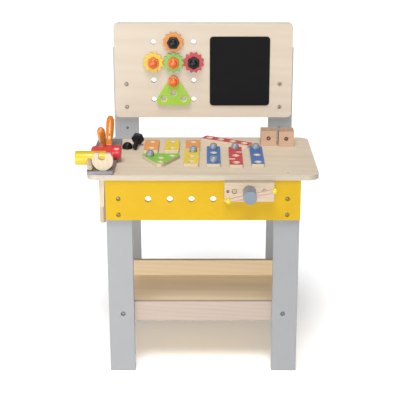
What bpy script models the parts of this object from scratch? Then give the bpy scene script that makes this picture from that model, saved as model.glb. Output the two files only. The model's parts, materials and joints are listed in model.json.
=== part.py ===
"""Toy tool bench: worktop on four legs, pegboard with gears, vise, tool rack and loose wooden pieces."""
import math

import bmesh
import bpy
from mathutils import Matrix, Vector

MM = 0.001
GAP = 0.3            # clearance between pieces that rest on or run in each other, mm

# ---- driving dimensions, mm.  X across, Y from the front legs to the back, Z up from the floor
LEG_OUTER = 225.0
LEG_WIDTH = 60.0
BOARD = 18.0         # thickness of legs and posts
POST_Y = 290.0       # front face of the rear posts
TOP_Z = 504.0        # upper face of the worktop
TOP_THICK = 12.0
TOP_FRONT = -14.0
TOP_DEPTH = 320.0
TOP_HALF = 267.0
TOP_CORNER = 26.0
APRON_THICK = 10.0
APRON_BOTTOM = 394.0
APRON_HOLES = (-126.5, -76.5, -26.5, 23.5)
APRON_HOLE_Z = 445.0
TRAY_BOTTOM = 125.0
TRAY_HEIGHT = 50.0
RAIL_THICK = 12.0
PANEL_HALF = 222.0   # pegboard
PANEL_BOTTOM = 564.0
PANEL_TOP = 804.0
PANEL_THICK = 10.0
HOLE_COLUMNS = (-124.0, -74.0, -24.0)
HOLE_ROWS = (757.0, 706.5, 660.0, 611.0)   # peg holes, from the top
HOLE_RADIUS = 6.3
GEAR_PITCH_RADIUS = 25.0
GEAR_TEETH = 12
GEAR_THICK = 9.0
RACK_LEFT = -266.0
RACK_RIGHT = -204.6
RACK_THICK = 8.0
RACK_TOP = TOP_Z + GAP + RACK_THICK
SLOT_X = -233.0        # centre line of the tool slots
SPANNER_X = -229.5     # middle of the spanner's head
SPANNER_TILT = math.radians(2.66)
STRIP_THICK = 8.0
VISE_X = 106.0
VISE_Z = 470.0
JAW_THICK = 18.0
JAW_BACK = -APRON_THICK - GAP
JAW_FRONT = JAW_BACK - JAW_THICK
KNOB_LENGTH = 46.0
KNOB_RADIUS = 15.5
BAR_Y = JAW_FRONT - 32.0
BAR_TILT = math.radians(13.0)
MALLET_X = -260.8
MALLET_HALF = 36.2
MALLET_Y = 42.0
HEAD_RADIUS = 16.5     # mallet and hammer heads
HAMMER_Y = 92.0
HAMMER_FACE = -194.0   # right end of the hammer's head
HAMMER_FOOT = 352.0    # lower end of the hanging handle
PLIERS_Y = 152.0
PLIERS_Z = 525.0
PLIERS_LEAN = math.radians(44.0)
PLIERS_THICK = 13.0
PLIERS_NEAR = -241.8   # middle of each half across the bench
PLIERS_FAR = -228.2
LOOSE_HOLE = 8.5       # radius of the holes in the loose strips
NARROW_HOLE = 8.0      # the same in the red ones

LEG_INNER = LEG_OUTER - LEG_WIDTH
TOP_BOTTOM = TOP_Z - TOP_THICK
PANEL_FRONT = POST_Y - PANEL_THICK - GAP
POST_TOP = 740.0
KNOB_FRONT = JAW_FRONT - GAP - KNOB_LENGTH

# the origin stands under the middle of the bench's box
CENTRE_X = (MALLET_X - MALLET_HALF + TOP_HALF) / 2
CENTRE_Y = (KNOB_FRONT + POST_Y + BOARD) / 2

COLOURS = {
    "birch": (0.80, 0.68, 0.52, 0.55, 0.0),
    "grey_paint": (0.55, 0.56, 0.57, 0.45, 0.0),
    "rack_paint": (0.30, 0.30, 0.32, 0.45, 0.0),
    "yellow_paint": (0.90, 0.56, 0.02, 0.4, 0.0),
    "bright_yellow": (0.95, 0.68, 0.02, 0.4, 0.0),
    "orange_paint": (0.92, 0.30, 0.03, 0.4, 0.0),
    "green_paint": (0.35, 0.62, 0.05, 0.4, 0.0),
    "red_paint": (0.75, 0.04, 0.05, 0.4, 0.0),
    "blue_paint": (0.05, 0.16, 0.42, 0.4, 0.0),
    "black_paint": (0.02, 0.018, 0.018, 0.4, 0.0),
    "knob_paint": (0.26, 0.31, 0.38, 0.4, 0.0),
    "chalkboard": (0.02, 0.02, 0.02, 0.85, 0.0),
    "beech": (0.72, 0.50, 0.34, 0.55, 0.0),
}


def clear_scene():
    for old in list(bpy.data.objects):
        bpy.data.objects.remove(old, do_unlink=True)


def material(name):
    found = bpy.data.materials.get(name)
    if found:
        return found
    made = bpy.data.materials.new(name)
    made.use_nodes = True
    red, green, blue, rough, metal = COLOURS[name]
    shader = made.node_tree.nodes["Principled BSDF"]
    shader.inputs["Base Color"].default_value = (red, green, blue, 1.0)
    shader.inputs["Roughness"].default_value = rough
    shader.inputs["Metallic"].default_value = metal
    return made


def finish(name, bm, finish_name, origin=(0, 0, 0), smooth=False):
    """Turn a bmesh in millimetres into an object whose origin is at origin, under the bench's empty."""
    bmesh.ops.recalc_face_normals(bm, faces=bm.faces)
    bmesh.ops.translate(bm, verts=bm.verts, vec=-Vector(origin))
    bmesh.ops.scale(bm, verts=bm.verts, vec=(MM, MM, MM))
    mesh = bpy.data.meshes.new(name)
    bm.to_mesh(mesh)
    bm.free()
    if smooth:
        mesh.shade_smooth()
        mesh.set_sharp_from_angle(angle=math.radians(35))
    made = bpy.data.objects.new(name, mesh)
    bpy.context.scene.collection.objects.link(made)
    made.data.materials.append(material(finish_name))
    made.parent = bench
    made.location = Vector(origin) * MM
    return made


def bevelled(made, width, segments=1, angle=40):
    bevel = made.modifiers.new("bevel", "BEVEL")
    bevel.width = width * MM
    bevel.segments = segments
    bevel.limit_method = "ANGLE"
    bevel.angle_limit = math.radians(angle)
    return made


def box(name, finish_name, low, high, bevel=1.0):
    """A sawn block between two corners, its edges broken by a small bevel."""
    low, high = Vector(low), Vector(high)
    bm = bmesh.new()
    bmesh.ops.create_cube(bm, size=1.0)
    bmesh.ops.scale(bm, verts=bm.verts, vec=high - low)
    bmesh.ops.translate(bm, verts=bm.verts, vec=(low + high) / 2)
    made = finish(name, bm, finish_name, (low + high) / 2)
    if bevel:
        bevelled(made, bevel)
    return made


def axis_turn(axis):
    """Rotation that lays the local Z axis along X, Y or Z of the bench."""
    if axis == "X":
        return Matrix.Rotation(math.radians(90), 4, "Y")
    if axis == "Y":
        return Matrix.Rotation(math.radians(-90), 4, "X")
    return Matrix.Identity(4)


def pointing(along):
    """Rotation that lays the local Z axis along a direction."""
    return Vector((0, 0, 1)).rotation_difference(Vector(along)).to_matrix().to_4x4()


def slab(name, finish_name, outline, thick, place, holes=(), bevel=0.8, origin=None):
    """A sawn plate: the outline (x, y) is extruded by thick along local Z, cut, then placed by a matrix."""
    bm = bmesh.new()
    corners = [bm.verts.new((x, y, 0)) for x, y in outline]
    face = bm.faces.new(corners)
    up = bmesh.ops.extrude_face_region(bm, geom=[face])
    raised = [item for item in up["geom"] if isinstance(item, bmesh.types.BMVert)]
    bmesh.ops.translate(bm, verts=raised, vec=(0, 0, thick))
    bmesh.ops.transform(bm, matrix=place, verts=bm.verts)
    at = place.translation if origin is None else Vector(origin)
    made = finish(name, bm, finish_name, at)
    if holes:
        drills = bmesh.new()
        for x, y, radius in holes:
            turn = place @ Matrix.Translation((x, y, thick / 2))
            bmesh.ops.create_cone(drills, cap_ends=True, segments=20, radius1=radius, radius2=radius,
                                  depth=thick * 2, matrix=turn)
        cut(made, drills)
    if bevel:
        bevelled(made, bevel)
    return made


def cut(made, tool_mesh):
    """Take a cutter's volume, given as a bmesh in millimetres, away from an object."""
    tool = finish(made.name + "_cutter", tool_mesh, "birch")
    tool.hide_render = True
    tool.display_type = "WIRE"
    boolean = made.modifiers.new("cut", "BOOLEAN")
    boolean.operation = "DIFFERENCE"
    boolean.object = tool


def block_cutter(boxes):
    bm = bmesh.new()
    for low, high in boxes:
        low, high = Vector(low), Vector(high)
        move = Matrix.Translation((low + high) / 2) @ Matrix.Diagonal((*(high - low), 1.0))
        bmesh.ops.create_cube(bm, size=1.0, matrix=move)
    return bm


def drill_cutter(points, axis, radius, depth, segments=20):
    bm = bmesh.new()
    for point in points:
        turn = Matrix.Translation(point) @ axis_turn(axis)
        bmesh.ops.create_cone(bm, cap_ends=True, segments=segments, radius1=radius, radius2=radius,
                              depth=depth, matrix=turn)
    return bm


def turned(name, finish_name, profile, place, segments=20, origin=None):
    """A turned piece: profile (radius, height) from the bottom to the top, closed on the axis."""
    bm = bmesh.new()
    line = [bm.verts.new((radius, 0, height)) for radius, height in profile]
    edges = [bm.edges.new(pair) for pair in zip(line, line[1:])]
    bmesh.ops.spin(bm, geom=line + edges, cent=(0, 0, 0), axis=(0, 0, 1), angle=math.tau,
                   steps=segments, use_merge=True)
    bmesh.ops.remove_doubles(bm, verts=bm.verts, dist=0.001)
    bmesh.ops.transform(bm, matrix=place, verts=bm.verts)
    at = place.translation if origin is None else Vector(origin)
    return finish(name, bm, finish_name, at, smooth=True)


def rod(name, finish_name, start, along, length, radius, segments=16, origin=None, chamfer=0.8):
    """A round bar from a start point, along a direction, with broken end edges."""
    place = Matrix.Translation(start) @ pointing(along)
    profile = [(0, 0), (radius - chamfer, 0), (radius, chamfer), (radius, length - chamfer),
               (radius - chamfer, length), (0, length)]
    return turned(name, finish_name, profile, place, segments, origin)


def rounded(width, depth, radius, steps=4, centre=(0, 0)):
    """Outline of a rectangle with round corners, counter-clockwise."""
    points = []
    half_w, half_d = width / 2 - radius, depth / 2 - radius
    for quarter, (sx, sy) in enumerate(((1, 1), (-1, 1), (-1, -1), (1, -1))):
        for step in range(steps + 1):
            angle = math.radians(90) * (quarter + step / steps)
            points.append((centre[0] + sx * half_w + radius * math.cos(angle),
                           centre[1] + sy * half_d + radius * math.sin(angle)))
    return points


def soft_triangle(base, height, radius, steps=5):
    """Outline of a triangle with round corners, apex at the origin, base below it along -y."""
    slope = math.atan2(height - 2 * radius, base / 2 - radius)
    centres = ((0, 0), (-base / 2 + radius, -height + 2 * radius), (base / 2 - radius, -height + 2 * radius))
    spans = ((math.pi / 2 - slope, math.pi / 2 + slope), (math.pi / 2 + slope, math.pi * 1.5),
             (-math.pi / 2, math.pi / 2 - slope))
    points = []
    for (cx, cy), (first, last) in zip(centres, spans):
        for step in range(steps + 1):
            angle = first + (last - first) * step / steps
            points.append((cx + radius * math.cos(angle), cy + radius * math.sin(angle)))
    return points


def gear_outline(phase):
    """Wooden gear with rounded teeth: a smooth wave about the pitch circle, thinned a little for play."""
    points = []
    samples = GEAR_TEETH * 8
    for step in range(samples):
        angle = math.tau * step / samples
        wave = math.cos(GEAR_TEETH * (angle - phase))
        radius = GEAR_PITCH_RADIUS - 0.75 + 2.5 * wave
        points.append((radius * math.cos(angle), radius * math.sin(angle)))
    return points


def hole_at(column, row):
    return Vector((HOLE_COLUMNS[column], PANEL_FRONT, HOLE_ROWS[row]))


# ---------------------------------------------------------------- frame
def build_frame():
    for side, sign in (("left", -1), ("right", 1)):
        inner, outer = sorted((sign * LEG_INNER, sign * LEG_OUTER))
        box("front_leg_" + side, "grey_paint", (inner, 0, 0), (outer, BOARD, TOP_BOTTOM - GAP), 1.5)
        box("rear_post_" + side, "grey_paint", (inner, POST_Y, 0), (outer, POST_Y + BOARD, POST_TOP), 1.5)
        low, high = sorted((sign * (LEG_OUTER - 1), sign * (LEG_OUTER - 1 - RAIL_THICK)))
        box("side_rail_" + side, "birch", (low, BOARD + GAP, APRON_BOTTOM + 4),
            (high, POST_Y - RAIL_THICK - 2 * GAP, TOP_BOTTOM - GAP))
        box("tray_side_" + side, "birch", (low, BOARD + RAIL_THICK + 2 * GAP, TRAY_BOTTOM),
            (high, POST_Y - RAIL_THICK - 2 * GAP, TRAY_BOTTOM + TRAY_HEIGHT))
    build_worktop()
    build_aprons()
    build_tray()
    build_pegboard()


def build_worktop():
    centre_y = TOP_FRONT + TOP_DEPTH / 2
    outline = rounded(TOP_HALF * 2, TOP_DEPTH, TOP_CORNER, 6, (0, centre_y))
    top = slab("worktop", "birch", outline, TOP_THICK, Matrix.Translation((0, 0, TOP_BOTTOM)), bevel=0)
    notches = [((side * LEG_OUTER - GAP * 2 if side < 0 else LEG_INNER - GAP, POST_Y - GAP, TOP_BOTTOM - 5),
                (-LEG_INNER + GAP if side < 0 else LEG_OUTER + GAP * 2, POST_Y + 30, TOP_Z + 5))
               for side in (-1, 1)]
    cut(top, block_cutter(notches + tool_slots(TOP_BOTTOM - 5, TOP_Z + 5)))
    bevelled(top, 1.5, 2)


def tool_slots(low_z, high_z):
    """Openings in the rack and the worktop under it for the spanner's and the hammer's handles."""
    spanner = ((SLOT_X - 8.0, -2.0, low_z), (SLOT_X + 9.7, 10.0, high_z))
    hammer = ((SLOT_X - 18.5, 82.5, low_z), (SLOT_X + 0.5, 101.5, high_z))
    return [spanner, hammer]


def build_aprons():
    top = TOP_BOTTOM - GAP
    low, high = (-LEG_OUTER, -APRON_THICK, APRON_BOTTOM), (LEG_OUTER, -GAP, top)
    front = box("apron_front", "yellow_paint", low, high, 0)
    peg_holes = [(x, -APRON_THICK / 2, APRON_HOLE_Z) for x in APRON_HOLES]
    tool = drill_cutter(peg_holes, "Y", 7.4, 40)
    guides = [(VISE_X + x, -APRON_THICK / 2, VISE_Z) for x in (-34, 34)]
    add_drills(tool, guides, 5.3, 40)
    add_drills(tool, [(VISE_X, -APRON_THICK / 2, VISE_Z)], 7.3, 40)
    cut(front, tool)
    bevelled(front, 1.0)
    box("apron_rear", "birch", (-LEG_OUTER + 2, POST_Y - RAIL_THICK - GAP, APRON_BOTTOM + 4),
        (LEG_OUTER - 2, POST_Y - GAP, top))


def add_drills(tool, points, radius, depth):
    for point in points:
        turn = Matrix.Translation(point) @ axis_turn("Y")
        bmesh.ops.create_cone(tool, cap_ends=True, segments=20, radius1=radius, radius2=radius,
                              depth=depth, matrix=turn)


def build_tray():
    top = TRAY_BOTTOM + TRAY_HEIGHT
    front_y, rear_y = BOARD + GAP, POST_Y - GAP
    half = LEG_OUTER - 1
    box("tray_front_rail", "beech", (-half, front_y, TRAY_BOTTOM), (half, front_y + RAIL_THICK, top))
    box("tray_rear_rail", "beech", (-half, rear_y - RAIL_THICK, TRAY_BOTTOM), (half, rear_y, top))
    inset = RAIL_THICK + GAP * 2
    box("tray_floor", "birch", (-half + inset, front_y + inset, TRAY_BOTTOM + 2),
        (half - inset, rear_y - inset, TRAY_BOTTOM + 8), 0)


def build_pegboard():
    place = Matrix.Translation((0, PANEL_FRONT, (PANEL_TOP + PANEL_BOTTOM) / 2)) @ axis_turn("Y")
    outline = rounded(PANEL_HALF * 2, PANEL_TOP - PANEL_BOTTOM, 12, 4)
    board = slab("backboard", "birch", outline, PANEL_THICK, place, bevel=0)
    points = [hole_at(column, row) for column in range(3) for row in range(4)]
    cut(board, drill_cutter(points, "Y", HOLE_RADIUS, 60, 16))
    bevelled(board, 1.0)
    panel = Matrix.Translation((91, PANEL_FRONT - 2.5 - GAP, 683)) @ axis_turn("Y")
    slab("chalkboard", "chalkboard", rounded(150, 176, 9, 3), 2.5, panel, bevel=0)


# ---------------------------------------------------------------- vise
def build_vise():
    jaw = box("vise_jaw", "birch", (VISE_X - 57, JAW_FRONT, 445), (VISE_X + 57, JAW_BACK, 491), 0)
    tool = drill_cutter([(VISE_X + x, JAW_BACK, VISE_Z) for x in (-34, 34)], "Y", 5.3, 60)
    add_drills(tool, [(VISE_X, JAW_BACK, VISE_Z)], 7.3, 60)
    cut(jaw, tool)
    bevelled(jaw, 1.5)
    for side, x in (("left", -34), ("right", 34)):
        rod("vise_guide_" + side, "birch", (VISE_X + x, JAW_FRONT + 0.4, VISE_Z), (0, 1, 0), 95, 5.0)
    nut = box("vise_nut", "birch", (VISE_X - 24, GAP, VISE_Z - 20), (VISE_X + 24, 18, VISE_Z + 20), 0)
    cut(nut, drill_cutter([(VISE_X, 9, VISE_Z)], "Y", 7.3, 60))
    bevelled(nut, 1.0)
    rod("vise_screw", "birch", (VISE_X, JAW_FRONT + 0.4, VISE_Z), (0, 1, 0), 92, 7.0,
        origin=(VISE_X, JAW_FRONT, VISE_Z))
    knob = turned("vise_knob", "knob_paint",
                  [(0, 0), (KNOB_RADIUS - 2.5, 0), (KNOB_RADIUS, 2.5), (KNOB_RADIUS, KNOB_LENGTH - 1.5),
                   (KNOB_RADIUS - 1.5, KNOB_LENGTH), (0, KNOB_LENGTH)],
                  Matrix.Translation((VISE_X, KNOB_FRONT, VISE_Z)) @ axis_turn("Y"), 28)
    across = Vector((math.cos(BAR_TILT), 0, math.sin(BAR_TILT)))
    middle = Vector((VISE_X, BAR_Y, VISE_Z))
    drill = bmesh.new()
    turn = Matrix.Translation(middle) @ pointing(across)
    bmesh.ops.create_cone(drill, cap_ends=True, segments=20, radius1=5.6, radius2=5.6, depth=60, matrix=turn)
    cut(knob, drill)
    slid = middle + across * 4.5
    rod("vise_bar", "beech", slid - across * 52, across, 104, 5.0, 14, origin=middle)
    for side, sign in (("left", -1), ("right", 1)):
        build_ball("vise_ball_" + side, slid + across * sign * 53.4, across, sign, middle)


def build_ball(name, centre, across, sign, origin):
    """A wooden ball bored for the bar's end; the bore stops inside it."""
    radius, bore, depth = 7.5, 5.3, 1.0
    entry = math.asin(bore / radius)
    steps = 8
    profile = [(0, depth), (bore, depth), (bore, radius * math.cos(entry))]
    profile += [(radius * math.sin(a), radius * math.cos(a))
                for a in (entry + (math.pi - entry) * step / steps for step in range(1, steps))]
    profile.append((0, -radius))
    shift = Matrix.Translation(centre) @ pointing(-across * sign)
    return turned(name, "bright_yellow", profile[::-1], shift, 16, origin)


# ---------------------------------------------------------------- gears and bolts
def bolt(name, finish_name, tip_to_head, head_at, shank_radius=5.5, shank=26.0, across=31.0):
    """A wooden play bolt: round shank, hexagon flange and a domed boss; head_at is under the flange.

    With no shank it is a cap nut that lies on its flange."""
    bm = bmesh.new()
    hexagon = across / 2
    sides = 12
    loops = []
    turned_part = ((shank_radius - 1, -shank), (shank_radius, -shank + 1), (shank_radius, 0)) if shank else ()
    for radius, height in turned_part:
        loops.append([bm.verts.new((radius * math.cos(math.tau * i / sides),
                                    radius * math.sin(math.tau * i / sides), height)) for i in range(sides)])
    for height, shrink in ((0, 1.0), (1, 1.0), (7, 1.0), (9, 0.9)):
        loop = []
        for i in range(sides):
            angle = math.tau * i / sides
            reach = hexagon * (1.0 if i % 2 == 0 else math.cos(math.pi / 6)) * shrink
            loop.append(bm.verts.new((reach * math.cos(angle), reach * math.sin(angle), height)))
        loops.append(loop)
    for radius, height in ((8, 9.2), (7.4, 13), (4, 15.5)):
        loops.append([bm.verts.new((radius * math.cos(math.tau * i / sides),
                                    radius * math.sin(math.tau * i / sides), height)) for i in range(sides)])
    for lower, upper in zip(loops, loops[1:]):
        for i in range(sides):
            bm.faces.new((lower[i], lower[(i + 1) % sides], upper[(i + 1) % sides], upper[i]))
    bm.faces.new(loops[0][::-1])
    bm.faces.new(loops[-1])
    bmesh.ops.transform(bm, matrix=Matrix.Translation(head_at) @ pointing(tip_to_head), verts=bm.verts)
    return finish(name, bm, finish_name, head_at, smooth=True)


def build_gears():
    gear_back = PANEL_FRONT - GAP
    places = {"gear_orange": (1, 0, "orange_paint", "black_paint", 33.0),
              "gear_yellow": (0, 1, "bright_yellow", "orange_paint", 31.0),
              "gear_green": (1, 1, "green_paint", "orange_paint", 31.0),
              "gear_red": (2, 1, "red_paint", "black_paint", 33.0)}
    half_tooth = math.pi / GEAR_TEETH
    for name, (column, row, paint, bolt_paint, across) in places.items():
        axle = hole_at(column, row)
        phase = 0.0 if name == "gear_green" else half_tooth
        place = Matrix.Translation((axle.x, gear_back - GEAR_THICK, axle.z)) @ axis_turn("Y")
        slab(name, paint, gear_outline(phase), GEAR_THICK, place, [(0, 0, 6.0)], bevel=0)
        bolt("bolt_of_" + name, bolt_paint, (0, -1, 0), (axle.x, gear_back - GEAR_THICK - GAP, axle.z),
             across=across)
    build_wall_triangle(gear_back)


def triangle_holes():
    return [(0, 0, 6.0), (0, -31, 7.5), (-25, -45, 7.5), (25, -45, 7.5)]


def build_wall_triangle(back):
    pivot = hole_at(1, 2)
    place = Matrix.Translation((pivot.x, back, pivot.z)) @ Matrix.Rotation(math.radians(90), 4, "X")
    outline = soft_triangle(84, 75, 13)
    slab("wall_triangle", "green_paint", outline, GEAR_THICK, place, triangle_holes(), bevel=0)
    bolt("bolt_of_wall_triangle", "orange_paint", (0, -1, 0), (pivot.x, back - GEAR_THICK - GAP, pivot.z))


# ---------------------------------------------------------------- rack and hand tools
def build_rack():
    length = 274.0
    place = Matrix.Translation(((RACK_LEFT + RACK_RIGHT) / 2, 0, TOP_Z + GAP))
    outline = rounded(RACK_RIGHT - RACK_LEFT, length, 3, 2, (0, TOP_FRONT + 4 + length / 2))
    rack = slab("tool_rack", "rack_paint", outline, RACK_THICK, place, bevel=0)
    pliers = ((SLOT_X - 16, PLIERS_Y - 26, TOP_Z - 5), (SLOT_X + 12, PLIERS_Y + 26, RACK_TOP + 5))
    cut(rack, block_cutter(tool_slots(TOP_Z - 5, RACK_TOP + 5) + [pliers]))
    bevelled(rack, 0.8)


def build_spanner():
    """Open-end spanner cut from one plate, standing in the front slot with its jaw up."""
    disc, jaw, grip, floor_z = 24.0, 9.5, 5.5, 538.5
    centre_z, top_z, bottom_z = 535.6, 553.0, 423.0
    points = []
    start = math.asin((top_z - centre_z) / disc)
    neck = math.asin(grip / disc)
    steps = 14
    for step in range(steps + 1):
        angle = start - (start + math.pi / 2 - neck) * step / steps
        points.append((disc * math.cos(angle), disc * math.sin(angle)))
    points.append((grip, bottom_z + 4 - centre_z))
    points.append((3.0, bottom_z - centre_z))
    right = points
    left = [(-x, y) for x, y in reversed(right)]
    notch = [(-jaw, top_z - centre_z)]
    for step in range(7):
        angle = math.pi + math.pi * step / 6
        notch.append((jaw * math.cos(angle), floor_z + 3 - centre_z + 6 * math.sin(angle)))
    notch.append((jaw, top_z - centre_z))
    outline = notch + right + left
    place = Matrix.Translation((SPANNER_X, 9, centre_z)) @ Matrix.Rotation(SPANNER_TILT, 4, "Y")
    place = place @ Matrix.Rotation(math.radians(90), 4, "X")
    slab("spanner", "birch", outline, 10.0, place, bevel=0.8)


def build_mallet():
    axle_z = RACK_TOP + GAP + HEAD_RADIUS
    head = turned("mallet_head", "bright_yellow",
                  [(0, -MALLET_HALF), (HEAD_RADIUS - 2, -MALLET_HALF), (HEAD_RADIUS, -MALLET_HALF + 2),
                   (HEAD_RADIUS, MALLET_HALF - 2), (HEAD_RADIUS - 2, MALLET_HALF), (0, MALLET_HALF)],
                  Matrix.Translation((MALLET_X, MALLET_Y, axle_z)) @ axis_turn("X"), 24)
    end = Vector((MALLET_X + 2.8, TOP_FRONT + 5, RACK_TOP + GAP + 6.8))
    seat = Vector((MALLET_X - 3.2, MALLET_Y - 6, axle_z))
    along = (end - seat).normalized()
    drill = bmesh.new()
    bmesh.ops.create_cone(drill, cap_ends=True, segments=16, radius1=6.3, radius2=6.3, depth=40,
                          matrix=Matrix.Translation(seat + along * (20 - GAP)) @ pointing(along))
    cut(head, drill)
    rod("mallet_handle", "birch", seat, along, (end - seat).length, 6.0, 16)


def build_hammer():
    """Claw hammer hanging in its slot: striking face to the right, flat claw to the left."""
    face_y, axis_z = HAMMER_Y, RACK_TOP + GAP + HEAD_RADIUS
    head = turned("hammer_head", "red_paint",
                  [(0, -22), (15.2, -22), (HEAD_RADIUS, -20.5), (HEAD_RADIUS, -2), (15.2, -0.6), (9.5, -0.6),
                   (9.5, 0), (0, 0)],
                  Matrix.Translation((HAMMER_FACE, face_y, axis_z)) @ axis_turn("X"), 24)
    claw = [(0, 8), (-12, 8.5), (-38, 7.5), (-50, 3), (-49, -1), (-36, -3), (-12, -8), (0, -9)]
    place = Matrix.Translation((-215, face_y - 9, axis_z + 6)) @ Matrix.Rotation(math.radians(90), 4, "X")
    place = Matrix.Translation((0, 18, 0)) @ place
    cheek = slab("hammer_claw", "red_paint", claw, 18.0, place, bevel=0)
    cheek.hide_render = True
    cheek.display_type = "WIRE"
    joined = head.modifiers.new("join", "BOOLEAN")
    joined.operation = "UNION"
    joined.object = cheek
    fork = block_cutter([((-272, face_y - 2, axis_z - 30), (-251, face_y + 2, axis_z + 30))])
    cut(head, fork)
    cut_bore(head, (SLOT_X - 9, face_y, axis_z), 7.3)
    foot = (SLOT_X - 9, face_y, HAMMER_FOOT)
    rod("hammer_handle", "birch", foot, (0, 0, 1), axis_z + 13 - HAMMER_FOOT, 7.0, 16, chamfer=2)


def cut_bore(made, point, radius):
    tool = finish(made.name + "_bore", drill_cutter([point], "Z", radius, 80, 16), "birch")
    tool.hide_render = True
    tool.display_type = "WIRE"
    boolean = made.modifiers.new("bore", "BOOLEAN")
    boolean.operation = "DIFFERENCE"
    boolean.object = tool


def build_pliers():
    """Two crossed halves on a pin along X: handles up, short jaws down in the rack's slot."""
    for name, sign, x in (("pliers_near_half", -1, PLIERS_NEAR), ("pliers_far_half", 1, PLIERS_FAR)):
        lean = PLIERS_LEAN * sign
        outline = [(-5, 10), (-7, 24), (-9, 42), (-9.5, 62), (-8, 77), (-4, 83), (4, 83), (8, 77), (9.5, 62),
                   (9, 42), (7, 24), (5, 10), (9, 4), (9, -4), (6, -12), (4.5, -20), (-2, -20), (-7, -12),
                   (-9, -4), (-9, 4)]
        outline = [(px * sign, py) for px, py in outline]
        if sign > 0:
            outline = outline[::-1]
        turn = Matrix.Rotation(-lean, 4, "X") @ Matrix.Rotation(math.radians(90), 4, "Z")
        turn = turn @ Matrix.Rotation(math.radians(90), 4, "X")
        place = Matrix.Translation((x - PLIERS_THICK / 2, PLIERS_Y, PLIERS_Z)) @ turn
        half = slab(name, "orange_paint", outline, PLIERS_THICK, place, [(0, 0, 4.3)], bevel=0,
                    origin=(x, PLIERS_Y, PLIERS_Z))
        bevelled(half, 3.0, 2, 60)
    rod("pliers_pin", "black_paint", (SLOT_X - 14, PLIERS_Y, PLIERS_Z), (1, 0, 0), 24, 4.0, 12)


# ---------------------------------------------------------------- loose pieces on the worktop
STRIPS = {   # centre x, centre y, turn in degrees, length, width, paint, hole offsets along the strip
    "strip_orange_left": (-128, 208, 0, 96, 36, "orange_paint", (-27, 27)),
    "strip_yellow_back": (-77, 208, 0, 96, 36, "bright_yellow", (-27, 27)),
    "strip_orange_right": (-26, 214, 0, 80, 36, "orange_paint", (-20, 20)),
    "strip_yellow_front": (-28, 110, 0, 122, 36, "bright_yellow", (-42, 0, 42)),
    "strip_blue_left": (25, 123, 0, 148, 33, "blue_paint", (-55, -18, 18, 55)),
    "strip_red": (78, 117, 0, 150, 32, "red_paint", (-56, 0, 60)),
    "strip_blue_right": (129, 122, 0, 148, 31, "blue_paint", (-57, 0, 54)),
    "strip_red_long": (59, 249, 59.3, 134, 29, "red_paint", (-50, -17, 17, 50)),
}


def build_strips():
    for name, (x, y, turn, length, width, paint, offsets) in STRIPS.items():
        place = Matrix.Translation((x, y, TOP_Z + GAP)) @ Matrix.Rotation(math.radians(turn), 4, "Z")
        holes = [(0, offset, NARROW_HOLE if "red" in name else LOOSE_HOLE) for offset in offsets]
        strip = slab(name, paint, rounded(width, length, 3, 2), STRIP_THICK, place, holes, bevel=0)
        if name == "strip_red":
            low, high = TOP_Z - 5, TOP_Z + 20
            cut(strip, block_cutter([((x + 2, y + 24, low), (x + width, y + 33, high)),
                                     ((x - width, y - 33, low), (x - 2, y - 24, high))]))
    place = Matrix.Translation((-101, 64, TOP_Z + GAP)) @ Matrix.Rotation(math.radians(180), 4, "Z")
    slab("bench_triangle", "green_paint", soft_triangle(89, 84, 13), STRIP_THICK, place,
         [(0, 0, 7.5), (0, -32, 7.5), (-26, -52, 7.5), (26, -52, 7.5)], bevel=0)


def build_cubes():
    for name, x, y in (("cube_left", 163, 246), ("cube_right", 207, 242)):
        half = 19.0
        low, high = (x - half, y - half, TOP_Z + GAP), (x + half, y + half, TOP_Z + GAP + 2 * half)
        block = box(name, "beech", low, high, 0)
        centre = (x, y, TOP_Z + GAP + half)
        tool = drill_cutter([centre], "Y", 5.5, 60, 16)
        cut(block, tool)
        cut_bore(block, centre, 4.0)
        bevelled(block, 2.0)


def build_loose_bolts():
    lean = math.radians(13)
    along = Vector((0.12, math.cos(lean), math.sin(lean))).normalized()
    bolt("black_bolt_lying", "black_paint", along, (-164, 226, TOP_Z + 16.7), 5.5, 42.0, 33.0)
    bolt("black_cap_nut", "black_paint", (0, 0, 1), (-188, 206, TOP_Z + GAP), 5.5, 0, 29.0)
    places = {"grey_bolt_triangle": (-127, 116), "grey_bolt_blue": (25, 68), "grey_bolt_red": (78, 177)}
    for name, (x, y) in places.items():
        grey_bolt(name, x, y)


def grey_bolt(name, x, y):
    """A stubby round-headed play bolt standing in a strip's hole."""
    base = TOP_Z + GAP + STRIP_THICK + GAP
    profile = [(0, -8), (6.2, -8), (7.0, -7), (7.0, 0), (8.8, 0), (9.4, 1), (9.5, 6), (8.6, 9.5),
               (6.0, 12.3), (3.0, 13.6), (0, 14)]
    turned(name, "knob_paint", profile, Matrix.Translation((x, y, base)), 16)


clear_scene()
bench = bpy.data.objects.new("bench", None)
bpy.context.scene.collection.objects.link(bench)
bench.location = (-CENTRE_X * MM, -CENTRE_Y * MM, 0)
build_frame()
build_vise()
build_gears()
build_rack()
build_spanner()
build_mallet()
build_hammer()
build_pliers()
build_strips()
build_cubes()
build_loose_bolts()
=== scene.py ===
import json
import math

import bmesh
import bpy
from mathutils import Matrix, Vector


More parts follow.
